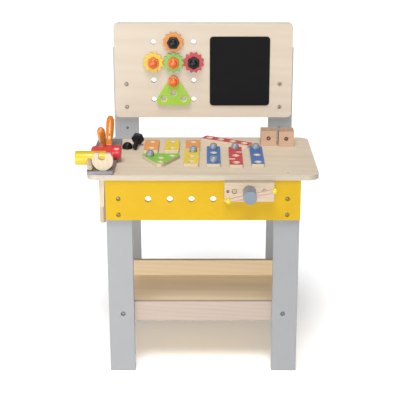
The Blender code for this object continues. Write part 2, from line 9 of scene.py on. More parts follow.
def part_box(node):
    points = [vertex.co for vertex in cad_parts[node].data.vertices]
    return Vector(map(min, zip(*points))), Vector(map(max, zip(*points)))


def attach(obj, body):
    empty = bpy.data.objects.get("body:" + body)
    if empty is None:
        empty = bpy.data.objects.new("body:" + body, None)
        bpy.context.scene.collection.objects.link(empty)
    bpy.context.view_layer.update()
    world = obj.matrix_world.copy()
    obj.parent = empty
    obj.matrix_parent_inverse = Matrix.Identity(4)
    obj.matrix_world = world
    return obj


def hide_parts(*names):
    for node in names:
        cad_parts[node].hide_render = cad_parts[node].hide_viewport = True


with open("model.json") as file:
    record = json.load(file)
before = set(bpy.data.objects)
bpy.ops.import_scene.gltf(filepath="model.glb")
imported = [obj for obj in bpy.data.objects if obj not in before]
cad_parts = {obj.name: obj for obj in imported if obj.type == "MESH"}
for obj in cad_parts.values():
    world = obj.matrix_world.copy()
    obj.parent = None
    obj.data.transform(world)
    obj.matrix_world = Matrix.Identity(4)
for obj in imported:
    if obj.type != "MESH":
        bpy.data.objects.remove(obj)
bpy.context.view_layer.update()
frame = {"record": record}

mm = 0.001
legLow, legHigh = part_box("front_leg_left")[0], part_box("front_leg_right")[1]
benchOrigin = Vector(((legLow.x + legHigh.x) / 2, legLow.y, 0.0))   # floor, midway between the legs
toRow = Matrix.Translation(benchOrigin) @ Matrix.Scale(mm, 4)       # bench millimetres to the row frame
bodyOf = {node: body for body, nodes in frame["record"]["behaviour"]["bodies"].items() for node in nodes}


def nodeBox(node):   # lowest and highest corner in bench millimetres
    low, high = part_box(node)
    return (low - benchOrigin) / mm, (high - benchOrigin) / mm


# colours and node maths

toned = 0.51    # how much of a lit colour is the surface's own, under the studio's light
upward = 1.52   # more of it for faces that look up, which get less of the light
usualSpecular = 0.4


# paintedLight: a colour made lighter as painted light, for a surface that gets less of the studio's light
def shade(red, green, blue, paintedLight=1.0):   # a colour as it looks in the light, 0-255, as a node colour
    def linear(value):
        value = value / 255
        return value / 12.92 if value <= 0.04045 else ((value + 0.055) / 1.055) ** 2.4
    return tuple(min(linear(value) * toned * paintedLight, 1.0) for value in (red, green, blue)) + (1.0,)


class Value:
    def __init__(self, finish, socket):
        self.finish, self.socket = finish, socket

    def do(self, operation, *others):
        return self.finish.node("Math", {"operation": operation}, dict(enumerate((self, *others))))

    def __add__(self, other):
        return self.do("ADD", other)

    def __sub__(self, other):
        return self.do("SUBTRACT", other)

    def __rsub__(self, other):
        return self.finish.node("Math", {"operation": "SUBTRACT"}, {0: other, 1: self})

    def __mul__(self, other):
        return self.do("MULTIPLY", other)

    __radd__, __rmul__ = __add__, __mul__

    def step(self, low, high):   # 0 below low, 1 above high, smooth between
        return self.finish.node("MapRange", {"interpolation_type": "SMOOTHSTEP"},
                                {"Value": self, "From Min": low, "From Max": high})


class Finish:
    def __init__(self, name, slot):
        self.material = bpy.data.materials.new(name)
        self.material.use_nodes = True
        self.slot = slot
        self.tree = self.material.node_tree
        self.tree.nodes.clear()
        self.place = self.node("TexCoord", out="Object")
        self.facing = self.node("TexCoord", out="Normal")

    def node(self, kind, settings=None, sockets=None, out=0):
        made = self.tree.nodes.new("ShaderNode" + kind)
        for key, value in (settings or {}).items():
            setattr(made, key, value)
        for key, value in (sockets or {}).items():
            if isinstance(value, Value):
                self.tree.links.new(value.socket, made.inputs[key])
            else:
                made.inputs[key].default_value = value
        return Value(self, made.outputs[out])

    def blend(self, factor, first, second):
        return self.node("Mix", {"data_type": "RGBA"}, {0: factor, 6: first, 7: second}, out=2)

    def along(self, direction, vector=None):   # how far a vector reaches along a direction
        return self.node("VectorMath", {"operation": "DOT_PRODUCT"},
                         {0: vector or self.place, 1: direction}, out="Value")

    def stretched(self, run, across, lengthwise):   # coordinates drawn out along the grain
        scale = [lengthwise if axis == run else across for axis in "XYZ"]
        return self.node("Mapping", None, {"Vector": self.place, "Scale": scale})

    def noise(self, vector, scale, detail=2.0, distortion=0.0):
        return self.node("TexNoise", None, {"Vector": vector, "Scale": scale, "Detail": detail,
                                            "Distortion": distortion})

    def surface(self, colour, roughness, metallic=0.0, height=None, depth=0.0001, coat=0.0,
                specular=usualSpecular):
        sockets = {"Base Color": colour, "Roughness": roughness, "Metallic": metallic, "Coat Weight": coat,
                   "Coat Roughness": 0.18, "Specular IOR Level": specular}
        if height:
            relief = {"Strength": 0.5, "Distance": depth, "Height": height}
            sockets["Normal"] = self.node("Bump", None, relief)
        shader = self.node("BsdfPrincipled", None, sockets)
        end = self.tree.nodes.new("ShaderNodeOutputMaterial")
        self.tree.links.new(shader.socket, end.inputs["Surface"])


axes = {"X": (1, 0, 0), "Y": (0, 1, 0), "Z": (0, 0, 1)}


def grain(make, run, rings=46.0, wander=3.2):
    figure = make.noise(make.stretched(run, 22, 1.6), 1.0, 3.0, 0.6)
    lines = make.node("TexWave", {"bands_direction": "DIAGONAL"},
                      {"Vector": make.stretched(run, 1.0, 0.06), "Scale": rings, "Distortion": wander,
                       "Detail": 2.0, "Detail Scale": 1.2}, out="Fac")
    fibres = make.noise(make.stretched(run, 900, 30), 1.0, 2.0)
    return figure, lines, fibres


def rawWood(name, slot, run, pale, dark, endDark, rings=46.0, wander=3.2):   # planed solid wood
    make = Finish(name, slot)
    figure, lines, fibres = grain(make, run, rings, wander)
    mask = (figure * 0.75 + lines * 0.28 + fibres * 0.22 - 0.28).step(0.0, 0.85)
    colour = make.blend(mask, pale, dark)
    end = make.along(axes[run], make.facing).do("ABSOLUTE").step(0.8, 0.95)   # sawn across the grain
    pores = make.noise(make.place, 900.0, 1.0)
    colour = make.blend(end * (0.35 + pores * 0.5), colour, endDark)
    make.surface(colour, 0.5 + fibres * 0.14, height=fibres + lines * 0.3, depth=0.00012, coat=0.08)
    return make


def plywood(name, slot, face, run, pale, dark, edgePale, edgeDark, layer=2.4):
    make = Finish(name, slot)
    figure, lines, fibres = grain(make, run, 17.0, 5.5)
    mask = (figure * 0.8 + lines * 0.3 + fibres * 0.2 - 0.3).step(0.0, 0.95)
    front = make.blend(mask, pale, dark)
    wobble = make.noise(make.place, 60.0) * 0.25
    plies = (make.along(axes[face]) * (1 / (layer * mm)) + wobble).do("PINGPONG", 1.0).step(0.42, 0.58)
    pores = make.noise(make.place, 700.0, 1.0)
    edge = make.blend(plies * 0.75 + pores * 0.25, edgePale, edgeDark)
    flat = make.along(axes[face], make.facing).do("ABSOLUTE").step(0.72, 0.86)
    make.surface(make.blend(flat, edge, front), 0.46 + fibres * 0.16,
                 height=fibres + lines * 0.25, depth=0.0001, coat=0.12)
    return make


def paint(name, slot, colour, deep, run="X", gloss=0.36, coat=0.2,
          specular=usualSpecular):   # painted on every side
    make = Finish(name, slot)
    cloud = make.noise(make.place, 26.0, 3.0)
    fibres = make.noise(make.stretched(run, 700, 26), 1.0, 2.0)
    peel = make.noise(make.place, 1100.0, 1.0)
    tone = make.blend((cloud * 0.8 + fibres * 0.35 - 0.2).step(0.1, 0.95), colour, deep)
    scuff = make.noise(make.place, 210.0, 4.0, 0.4).step(0.67, 0.74)
    make.surface(tone, gloss + fibres * 0.08 + scuff * 0.16, height=fibres * 0.6 + peel * 0.4,
                 depth=0.00008, coat=coat, specular=specular)
    return make


def facePaint(name, slot, face, colour, deep, raw, rawDeep, run="Y"):   # painted faces, raw edges
    rawRoughness, paintedRoughness, layer = 0.56, 0.38, 1.6
    make = Finish(name, slot)
    cloud = make.noise(make.place, 34.0, 3.0)
    fibres = make.noise(make.stretched(run, 800, 24), 1.0, 2.0)
    patchy = make.noise(make.place, 420.0, 3.0)
    flat = make.along(face, make.facing).do("ABSOLUTE")
    cover = (flat + patchy * 0.16).step(0.93, 0.99)
    tone = make.blend((cloud * 0.7 + fibres * 0.5 - 0.2).step(0.1, 0.95), colour, deep)
    plies = (make.along(face) * (1 / (layer * mm)) + cloud * 0.4).do("PINGPONG", 1.0).step(0.4, 0.6)
    bare = make.blend(plies * 0.55 + fibres * 0.3, raw, rawDeep)
    roughness = rawRoughness - cover * (rawRoughness - paintedRoughness) + fibres * 0.08
    make.surface(make.blend(cover, bare, tone), roughness, height=fibres, depth=0.0001, coat=cover * 0.2)
    return make


def zinc(name):
    make = Finish(name, None)
    smear = make.noise(make.place, 900.0, 3.0)
    colour = make.blend(smear, shade(196, 196, 200), shade(150, 150, 156))
    make.surface(colour, 0.24 + smear * 0.2, metallic=1.0, height=smear, depth=0.00003)
    return make


def slate(name):
    make = Finish(name, "chalkboard")
    haze = make.noise(make.stretched("X", 14, 5), 1.0, 4.0, 0.8).step(0.42, 0.85)
    grit = make.noise(make.place, 1500.0, 1.0)
    dark = make.blend(haze * 0.6 + grit * 0.2, shade(26, 26, 28), shade(36, 36, 37))
    flat = make.along(axes["Y"], make.facing).do("ABSOLUTE").step(0.8, 0.95)
    make.surface(make.blend(flat, shade(205, 186, 160), dark), 0.8 + haze * 0.14, height=grit, depth=0.0001,
                 specular=0.08)
    return make


birchPale, birchDark = shade(232, 215, 190), shade(218, 196, 166)
rawPale, rawDeep = shade(240, 226, 200), shade(214, 190, 154)

looks = {
    "worktop": plywood("birch_ply_top", "birch", "Z", "X", shade(224, 208, 186, upward),
                       shade(214, 195, 170, upward), shade(220, 208, 190), shade(208, 193, 170)),
    "panel": plywood("birch_ply_panel", "birch", "Y", "X", shade(232, 216, 195), shade(223, 205, 182),
                     shade(236, 222, 200), shade(208, 186, 158)),
    # painted light: the tray floor's face colours are lifted 2.1 times to make up for the shade of the
    # worktop and apron over it
    "thinPly": plywood("birch_ply_floor", "birch", "Z", "X", shade(240, 220, 188, 2.1),
                       shade(230, 207, 172, 2.1), shade(232, 214, 184), shade(208, 182, 146), 1.2),
    # painted light: the rail's grain colours, not its end grain, are lifted 1.5 times to make up for the
    # shade under the worktop
    "railPine": rawWood("pine_rail", "beech", "X", shade(230, 208, 172, 1.5), shade(220, 195, 156, 1.5),
                        shade(200, 168, 128)),
    "railBeech": rawWood("beech_rail", "beech", "X", shade(206, 188, 174), shade(194, 173, 156),
                         shade(186, 150, 122), 60.0),
    "railDeep": rawWood("birch_rail", "birch", "Y", birchPale, birchDark, shade(196, 166, 130)),
    "jaw": rawWood("birch_jaw", "birch", "X", shade(226, 205, 178), shade(214, 190, 160),
                   shade(198, 168, 134), 70.0),
    "dowelY": rawWood("birch_dowel", "birch", "Y", shade(232, 212, 184), shade(210, 184, 150),
                      shade(196, 166, 130), 90.0),
    "handle": rawWood("birch_handle", "birch", "Z", shade(236, 220, 190), shade(216, 190, 152),
                      shade(200, 168, 130), 80.0),
    "spanner": rawWood("birch_spanner", "birch", "Z", shade(236, 220, 190), shade(222, 200, 166),
                       shade(212, 186, 150), 60.0),
    "bar": rawWood("beech_bar", "beech", "X", shade(230, 200, 182), shade(208, 168, 144),
                   shade(190, 146, 118), 90.0),
    "cube": rawWood("beech_cube", "beech", "X", shade(228, 190, 158), shade(206, 162, 126),
                    shade(196, 150, 114), 110.0),
    "grey": paint("grey_satin", "grey_paint", shade(172, 174, 176), shade(168, 170, 173), "Z", 0.42, 0.05),
    "rack": paint("rack_grey", "rack_paint", shade(150, 150, 156), shade(128, 127, 134), "Y", 0.42, 0.1),
    "apron": paint("apron_yellow", "yellow_paint", shade(230, 186, 2), shade(222, 176, 0), "X",
                   0.42, 0.03, 0.2),
    "yellow": paint("toy_yellow", "bright_yellow", shade(250, 216, 20), shade(244, 204, 12), "X"),
    "ballYellow": paint("ball_yellow", "bright_yellow", shade(250, 222, 28), shade(244, 208, 16), "X",
                        0.28, 0.4),
    "gearOrange": paint("gear_orange_paint", "orange_paint", shade(243, 154, 50), shade(236, 142, 40), "Z"),
    "gearYellow": paint("gear_yellow_paint", "bright_yellow", shade(252, 212, 48), shade(246, 200, 36), "Z"),
    "gearGreen": paint("gear_green_paint", "green_paint", shade(156, 204, 82), shade(144, 193, 70), "Z"),
    "gearRed": paint("gear_red_paint", "red_paint", shade(212, 55, 60), shade(200, 46, 52), "Z"),
    "orange": paint("bolt_orange", "orange_paint", shade(250, 118, 28), shade(240, 100, 16), "Y", 0.3, 0.3),
    "black": paint("bolt_black", "black_paint", shade(24, 21, 24), shade(15, 13, 15), "Y",
                   0.34, 0.06, 0.22),
    "pliers": paint("pliers_orange", "orange_paint", shade(250, 146, 22), shade(240, 128, 12), "Z",
                    0.24, 0.5),
    "red": paint("hammer_red", "red_paint", shade(238, 50, 56), shade(222, 36, 42), "X", 0.28, 0.4),
    "blueGrey": paint("knob_blue_grey", "knob_paint", shade(140, 152, 166), shade(124, 137, 152), "Y",
                      0.3, 0.3),
    "boltGrey": paint("bolt_grey", "knob_paint", shade(158, 168, 174), shade(140, 150, 158), "Z", 0.3, 0.3),
    "wallTriangle": facePaint("wall_triangle_green", "green_paint", axes["Y"], shade(166, 212, 16),
                              shade(154, 202, 8), shade(232, 238, 186), shade(214, 222, 150), "Z"),
    "benchTriangle": facePaint("bench_triangle_green", "green_paint", axes["Z"], shade(132, 200, 50, upward),
                               shade(118, 186, 38, upward), rawPale, rawDeep),
    "slate": slate("chalkboard_black"),
    "zinc": zinc("zinc_steel"),
}
for key, slot, colour, deep in (
        ("stripOrange", "orange_paint", shade(238, 158, 76, upward), shade(228, 142, 58, upward)),
        ("stripYellow", "bright_yellow", shade(238, 208, 58, upward), shade(228, 196, 42, upward)),
        ("stripBlue", "blue_paint", shade(62, 112, 178, upward), shade(50, 98, 162, upward)),
        ("stripRed", "red_paint", shade(208, 62, 68, upward), shade(192, 50, 56, upward))):
    looks[key] = facePaint("strip_" + key[5:].lower(), slot, axes["Z"], colour, deep, rawPale, rawDeep)
print("finishes made:", len(looks))


# bmesh helpers, all in bench millimetres

def beam(low, high, corner=0.0, upright="Z", steps=8):   # a sawn block, corners parallel to one axis rounded
    low, high = Vector(low), Vector(high)
    bm = bmesh.new()
    bmesh.ops.create_cube(bm, size=1.0)
    bmesh.ops.scale(bm, verts=bm.verts, vec=high - low)
    bmesh.ops.translate(bm, verts=bm.verts, vec=(low + high) / 2)
    if corner:
        n = "XYZ".index(upright)
        edges = [e for e in bm.edges if abs((e.verts[0].co - e.verts[1].co)[n]) > 0.001]
        bmesh.ops.bevel(bm, geom=edges, offset=corner, offset_type="OFFSET", segments=steps, profile=0.5,
                        affect="EDGES", material=-1)
    return bm


def lathe(profile, steps=48):   # (radius, height) points spun about Z
    bm = bmesh.new()
    points = [bm.verts.new((radius, 0, height)) for radius, height in profile]
    line = [bm.edges.new(pair) for pair in zip(points, points[1:])]
    bmesh.ops.spin(bm, geom=points + line, cent=(0, 0, 0), axis=(0, 0, 1), angle=math.tau, steps=steps,
                   use_merge=True)
    bmesh.ops.remove_doubles(bm, verts=bm.verts, dist=0.001)
    bmesh.ops.recalc_face_normals(bm, faces=bm.faces)
    return bm


def raised(bm, thick):   # a flat face on z 0 made a solid
    copied = bmesh.ops.extrude_face_region(bm, geom=bm.faces[:])["geom"]
    bmesh.ops.translate(bm, verts=[g for g in copied if isinstance(g, bmesh.types.BMVert)], vec=(0, 0, thick))
    bmesh.ops.recalc_face_normals(bm, faces=bm.faces)
    return bm


def prism(outline, thick):   # a flat outline of a few points, raised along Z
    bm = bmesh.new()
    bm.faces.new([bm.verts.new((x, y, 0)) for x, y in outline])
    return raised(bm, thick)


def pointing(direction):
    return Vector((0, 0, 1)).rotation_difference(Vector(direction)).to_matrix().to_4x4()


def stand(bm, base, direction=(0, 0, 1)):   # local Z laid along a direction, local origin at base
    bmesh.ops.transform(bm, matrix=Matrix.Translation(base) @ pointing(direction), verts=bm.verts)
    return bm


def pegs(points, radius, depth, direction, sides=40):   # drill bits centred on the points
    bm = bmesh.new()
    for point in points:
        bmesh.ops.create_cone(bm, cap_ends=True, segments=sides, radius1=radius, radius2=radius, depth=depth,
                              matrix=Matrix.Translation(point) @ pointing(direction))
    return bm


def sunkHoles(points, radius, thick):   # bits for a plate on z 0, countersunk on both faces
    sink = 2.5
    bits = []
    for x, y in points:
        bit = lathe([(0, -1), (radius + sink + 1, -1), (radius, sink), (radius, thick - sink),
                     (radius + sink + 1, thick + 1), (0, thick + 1)])
        bmesh.ops.translate(bit, verts=bit.verts, vec=(x, y, 0))
        bits.append(bit)
    return bits


def threaded(radius, groove, pitch, length, steps=24):   # a coarse wooden thread from z 0 down to -length
    bm = bmesh.new()
    turns = int(length / pitch) + 3
    wave = [(radius - groove, 0), (radius - groove * 0.25, pitch * 0.3), (radius, pitch * 0.5),
            (radius - groove * 0.25, pitch * 0.7), (radius - groove, pitch)]
    points = [bm.verts.new((r, 0, h)) for r, h in wave]
    line = [bm.edges.new(pair) for pair in zip(points, points[1:])]
    bmesh.ops.spin(bm, geom=points + line, cent=(0, 0, 0), axis=(0, 0, 1), angle=math.tau * turns,
                   steps=steps * turns, dvec=(0, 0, pitch / steps))
    bmesh.ops.translate(bm, verts=bm.verts, vec=(0, 0, -length - pitch * 1.5))
    bmesh.ops.remove_doubles(bm, verts=bm.verts, dist=0.01)
    for height, side in ((0.0, 1), (-length, -1)):
        bmesh.ops.bisect_plane(bm, geom=bm.verts[:] + bm.edges[:] + bm.faces[:], plane_co=(0, 0, height),
                               plane_no=(0, 0, side), clear_outer=True)
        rim = [e for e in bm.edges if e.is_boundary and abs(e.verts[0].co.z - height) < 0.001]
        bmesh.ops.edgeloop_fill(bm, edges=rim)
    bmesh.ops.recalc_face_normals(bm, faces=bm.faces)
    return bm


def temporary(bm):
    mesh = bpy.data.meshes.new("temporary")
    bm.to_mesh(mesh)
    bm.free()
    made = bpy.data.objects.new("temporary", mesh)
    bpy.context.scene.collection.objects.link(made)
    return made


def joinAndCut(base, joins=(), cuts=()):   # bmeshes in, one bmesh out
    made = temporary(base)
    tools = [(temporary(tool), "UNION") for tool in joins]
    tools += [(temporary(tool), "DIFFERENCE") for tool in cuts]
    for tool, operation in tools:
        change = made.modifiers.new("change", "BOOLEAN")
        change.operation = operation
        change.object = tool
    result = bpy.data.meshes.new_from_object(made.evaluated_get(bpy.context.evaluated_depsgraph_get()))
    bm = bmesh.new()
    bm.from_mesh(result)
    for used in [made] + [tool for tool, operation in tools]:
        bpy.data.objects.remove(used)
    bmesh.ops.remove_doubles(bm, verts=bm.verts, dist=0.0005)
    return bm


def piece(name, bm, look, node=None, body=None, edge=0.8, steps=3, sharp=32):
    bmesh.ops.transform(bm, matrix=toRow, verts=bm.verts)
    mesh = bpy.data.meshes.new(name)
    bm.to_mesh(mesh)
    bm.free()
    mesh.materials.append(looks[look].material)
    mesh.shade_smooth()
    mesh.set_sharp_from_angle(angle=math.radians(sharp))
    made = bpy.data.objects.new(name, mesh)
    bpy.context.scene.collection.objects.link(made)
    if edge:
        broken = made.modifiers.new("brokenEdges", "BEVEL")
        broken.width = edge * mm
        broken.segments = steps
        broken.limit_method = "ANGLE"
        broken.angle_limit = math.radians(sharp)
        broken.harden_normals = True
    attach(made, body or bodyOf[node])
    if node:
        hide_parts(node)
    return made


# screws that hold the bench together

screws = {
    "bigBore": 5.6, "bigHead": 3.0,
    "smallBore": 3.4, "smallHead": 1.9,
    "depth": 6.5, "sunk": 2.2, "socketDepth": 1.2,
    "at": {   # node: (x, height, big or small)
        "front_leg_left": [(-191, 151, "big")], "front_leg_right": [(191, 151, "big")],
        "apron_front": [(-195, 446, "big"), (-195, 407, "big"), (195, 446, "big"), (195, 407, "big")],
        "backboard": [(-192, 650, "big"), (-192, 591, "big"), (192, 650, "big"), (192, 591, "big")],
        "rear_post_left": [(-193, 534, "small")], "rear_post_right": [(193, 534, "small")],
        "vise_jaw": [(57, 470, "small"), (155, 470, "small")],
    },
    "behind": {"rear_post_left": [-195], "rear_post_right": [195]},   # round nuts on the posts' backs
    "behindHeights": [151, 407, 446, 591, 650],
    "top": [(-195, 5), (195, 5), (-195, 272), (195, 272)],             # down through the worktop
}


def screwHead(name, point, facing, radius, body):
    foot, top = 0.2 - screws["depth"], -screws["sunk"]
    head = lathe([(0, foot), (radius, foot), (radius, top - 0.9), (radius - 0.3, top - 0.4),
                  (radius - 0.9, top - 0.1), (0, top)], 36)
    socket = pegs([(0, 0, top)], radius * 0.45, screws["socketDepth"] * 2, (0, 0, 1), 6)
    piece(name, stand(joinAndCut(head, cuts=[socket]), point, facing), "zinc", body=body, edge=0.15, steps=2)


def screwsOf(node):   # (point, facing, size) of each screw in a node
    low, high = nodeBox(node)
    found = [(Vector((x, low.y, z)), Vector((0, -1, 0)), size) for x, z, size in screws["at"].get(node, [])]
    found += [(Vector((x, high.y, z)), Vector((0, 1, 0)), "big") for x in screws["behind"].get(node, [])
              for z in screws["behindHeights"]]
    if node == "worktop":
        found += [(Vector((x, y, high.z)), Vector((0, 0, 1)), "small") for x, y in screws["top"]]
    return found


def counterbores(node):
    return [pegs([point], screws[size + "Bore"], screws["depth"] * 2, facing, 32)
            for point, facing, size in screwsOf(node)]


def fitScrews(node):
    for count, (point, facing, size) in enumerate(screwsOf(node), 1):
        screwHead(f"screw_{node}_{count}", point, facing, screws[size + "Head"], bodyOf[node])


# boards of the frame

boards = {   # node: look, broken edge
    "front_leg_left": ("grey", 1.8), "front_leg_right": ("grey", 1.8),
    "rear_post_left": ("grey", 1.8), "rear_post_right": ("grey", 1.8),
    "side_rail_left": ("railDeep", 1.0), "side_rail_right": ("railDeep", 1.0),
    "tray_side_left": ("railDeep", 1.0), "tray_side_right": ("railDeep", 1.0),
    "tray_front_rail": ("railBeech", 1.4), "tray_rear_rail": ("railPine", 1.4),
    "tray_floor": ("thinPly", 0.4), "apron_rear": ("railPine", 1.0),
}
for node, (look, edge) in boards.items():
    piece(node + "_board", joinAndCut(beam(*nodeBox(node)), cuts=counterbores(node)), look, node, edge=edge)
    fitScrews(node)
print("frame boards made")

openings = {   # through the rack and the worktop: low and high corners (x, y)
    "spanner": ((-241.0, -2.0), (-223.3, 10.0)),
    "hammer": ((-251.5, 82.5), (-232.5, 101.5)),
    "pliers": ((-249.0, 126.0), (-221.0, 178.0)),   # the rack only
}


def slotBits(names, low, high):
    corner, past = 1.5, 5
    bits = []
    for name in names:
        (x0, y0), (x1, y1) = openings[name]
        bits.append(beam((x0, y0, low - past), (x1, y1, high + past), corner, "Z", 4))
    return bits


worktop = {"corner": 26.0, "postGap": 0.5}


def makeWorktop():
    low, high = nodeBox("worktop")
    notches = []
    for side in ("left", "right"):
        postLow, postHigh = nodeBox("rear_post_" + side)
        gap = worktop["postGap"]
        notches.append(beam((postLow.x - gap, postLow.y - gap, low.z - 5),
                            (postHigh.x + gap, high.y + 9, high.z + 5)))
    cuts = notches + slotBits(("spanner", "hammer"), low.z, high.z) + counterbores("worktop")
    board = joinAndCut(beam(low, high, worktop["corner"], "Z", 16), cuts=cuts)
    piece("worktop_board", board, "worktop", "worktop", edge=1.8, steps=4)
    fitScrews("worktop")


apron = {"pegX": (-126.5, -76.5, -26.5, 23.5), "pegZ": 445.0, "pegRadius": 7.4}
vise = {
    "x": 106.0, "z": 470.0, "guideReach": 34.0, "guideBore": 6.0, "screwBore": 7.3,
    "barRadius": 5.0, "barHalf": 52.0, "barBore": 5.6, "barAhead": 32.0, "tilt": math.radians(13.0),
    "slide": 4.5, "ballRadius": 7.5, "ballReach": 53.4, "ballBore": 5.3, "ballBoreDepth": 6.5,
    "threadDepth": 1.3, "threadPitch": 8.0,
}


def viseBores(node):
    low, high = nodeBox(node)
    middle = (low.y + high.y) / 2
    guides = [(vise["x"] + reach, middle, vise["z"]) for reach in (-vise["guideReach"], vise["guideReach"])]
    return [pegs(guides, vise["guideBore"], 40, (0, 1, 0)),
            pegs([(vise["x"], middle, vise["z"])], vise["screwBore"], 40, (0, 1, 0))]


def makeApron():
    low, high = nodeBox("apron_front")
    holes = pegs([(x, low.y, apron["pegZ"]) for x in apron["pegX"]], apron["pegRadius"], 60, (0, 1, 0), 48)
    cuts = [holes] + viseBores("apron_front") + counterbores("apron_front")
    piece("apron_front_board", joinAndCut(beam(low, high), cuts=cuts), "apron", "apron_front", edge=1.0)
    fitScrews("apron_front")


pegboard = {"columns": (-124, -74, -24), "rows": (757, 706.5, 660, 611), "holeRadius": 6.3, "corner": 12.0}


def makePegboard():
    low, high = nodeBox("backboard")
    holes = pegs([(x, low.y, z) for x in pegboard["columns"] for z in pegboard["rows"]],
                 pegboard["holeRadius"], 60, (0, 1, 0), 48)
    panel = beam(low, high, pegboard["corner"], "Y", 12)
    piece("pegboard_panel", joinAndCut(panel, cuts=[holes] + counterbores("backboard")), "panel", "backboard",
          edge=1.2)
    fitScrews("backboard")
    low, high = nodeBox("chalkboard")
    piece("chalkboard_plate", beam(low, high, 9.0, "Y", 10), "slate", "chalkboard", edge=0.5)


makeWorktop()
makeApron()
makePegboard()
print("worktop, apron and pegboard made")


# vise

def makeVise():
    block = joinAndCut(beam(*nodeBox("vise_jaw")), cuts=viseBores("vise_jaw") + counterbores("vise_jaw"))
    piece("vise_jaw_block", block, "jaw", "vise_jaw", edge=2.0, steps=4)
    fitScrews("vise_jaw")
    for side in ("left", "right"):
        low, high = nodeBox("vise_guide_" + side)
        radius, length = (high.x - low.x) / 2, high.y - low.y
        dowel = lathe([(0, 0), (radius - 0.8, 0), (radius, 0.9), (radius, length - 1.2),
                       (radius - 1.2, length), (0, length)], 40)
        piece(f"vise_guide_{side}_dowel", stand(dowel, ((low.x + high.x) / 2, low.y, vise["z"]), (0, 1, 0)),
              "dowelY", "vise_guide_" + side, edge=0)
    low, high = nodeBox("vise_screw")
    rod = threaded((high.x - low.x) / 2, vise["threadDepth"], vise["threadPitch"], high.y - low.y)
    piece("vise_screw_thread", stand(rod, ((low.x + high.x) / 2, low.y, vise["z"]), (0, -1, 0)), "dowelY",
          "vise_screw", edge=0)
    nut = joinAndCut(beam(*nodeBox("vise_nut")), cuts=viseBores("vise_nut")[1:])
    piece("vise_nut_block", nut, "jaw", "vise_nut", edge=1.2)
    makeKnobAndBar()


def makeKnobAndBar():
    low, high = nodeBox("vise_knob")
    radius, length = (high.x - low.x) / 2, high.y - low.y
    across = Vector((math.cos(vise["tilt"]), 0, math.sin(vise["tilt"])))
    barY = nodeBox("vise_jaw")[0].y - vise["barAhead"]
    middle = Vector((vise["x"], barY, vise["z"]))
    knob = lathe([(0, 0), (radius - 1.0, 0), (radius, 1.0), (radius, length), (0, length + 0.01)], 64)
    stand(knob, (vise["x"], high.y, vise["z"]), (0, -1, 0))
    bore = pegs([middle], vise["barBore"], 60, across)
    piece("vise_knob_turned", joinAndCut(knob, cuts=[bore]), "blueGrey", "vise_knob", edge=1.6, steps=4)
    slid = middle + across * vise["slide"]
    half, radius = vise["barHalf"], vise["barRadius"]
    rod = lathe([(0, -half), (radius - 0.8, -half), (radius, -half + 0.8), (radius, half - 0.8),
                 (radius - 0.8, half), (0, half)], 40)
    piece("vise_bar_rod", stand(rod, slid, across), "bar", "vise_bar", edge=0)
    for side, sign in (("left", -1), ("right", 1)):
        ball = bmesh.new()
        bmesh.ops.create_uvsphere(ball, u_segments=40, v_segments=24, radius=vise["ballRadius"])
        top = (0, 0, vise["ballRadius"])
        ball = joinAndCut(ball, cuts=[pegs([top], vise["ballBore"], vise["ballBoreDepth"] * 2, (0, 0, 1))])
        centre = slid + across * sign * vise["ballReach"]
        piece(f"vise_ball_{side}_turned", stand(ball, centre, -across * sign), "ballYellow",
              "vise_ball_" + side, edge=0.3, steps=2)


makeVise()
print("vise made")


# play bolts, gears and triangles

bolt = {
    "shank": 5.5, "groove": 0.9, "pitch": 4.5, "length": 25.6, "gap": 0.3,   # gap: under its flange
    "flange": 9.0, "flangeRound": 2.2,
    "boss": ((0, 5), (10, 5), (10, 9.6), (9.6, 11.2), (8.4, 12.9), (6.4, 14.3), (3.6, 15.2), (0, 15.5)),
}


def playBolt(shankLength, across=31.0, turn=0.0):   # under the flange at z 0, head upwards
    flange = bmesh.new()
    bmesh.ops.create_circle(flange, cap_ends=True, segments=6, radius=across / 2,
                            matrix=Matrix.Rotation(math.radians(turn), 4, "Z"))
    raised(flange, bolt["flange"])
    bmesh.ops.bevel(flange, geom=flange.edges[:], offset=bolt["flangeRound"], offset_type="OFFSET",
                    segments=5, profile=0.5, affect="EDGES", material=-1)
    boss = lathe(bolt["boss"], 48)
    if not shankLength:   # a cap nut
        return joinAndCut(flange, joins=[boss])
    shank = threaded(bolt["shank"], bolt["groove"], bolt["pitch"], shankLength)
    bmesh.ops.translate(shank, verts=shank.verts, vec=(0, 0, 0.4))
    return joinAndCut(flange, joins=[boss, shank])


gearShape = {
    "outer": 26.75, "bore": 6.0, "teeth": 12, "toothDepth": 5.0,
    "pointsPerTooth": 16, "squared": 0.11,   # squared: how far a tooth's wave is from a sine
}


def gearBlank(thick, phase):   # rounded teeth
    bm = bmesh.new()
    teeth, squared, reach = gearShape["teeth"], gearShape["squared"], gearShape["toothDepth"] / 2
    middle = gearShape["outer"] - reach
    bmesh.ops.create_circle(bm, cap_ends=True, segments=teeth * gearShape["pointsPerTooth"], radius=middle)
    for v in bm.verts:
        turn = teeth * (math.atan2(v.co.y, v.co.x) - phase)
        wave = (math.cos(turn) + squared * math.cos(3 * turn)) / (1 + squared)
        v.co *= (middle + reach * wave) / middle
    return raised(bm, thick)


gears = {   # node: look, look of its bolt, size across the bolt's points, turn of the bolt
    "gear_orange": ("gearOrange", "black", 33.0, 30), "gear_yellow": ("gearYellow", "orange", 31.0, 0),
    "gear_green": ("gearGreen", "orange", 31.0, 0), "gear_red": ("gearRed", "black", 33.0, 0),
}


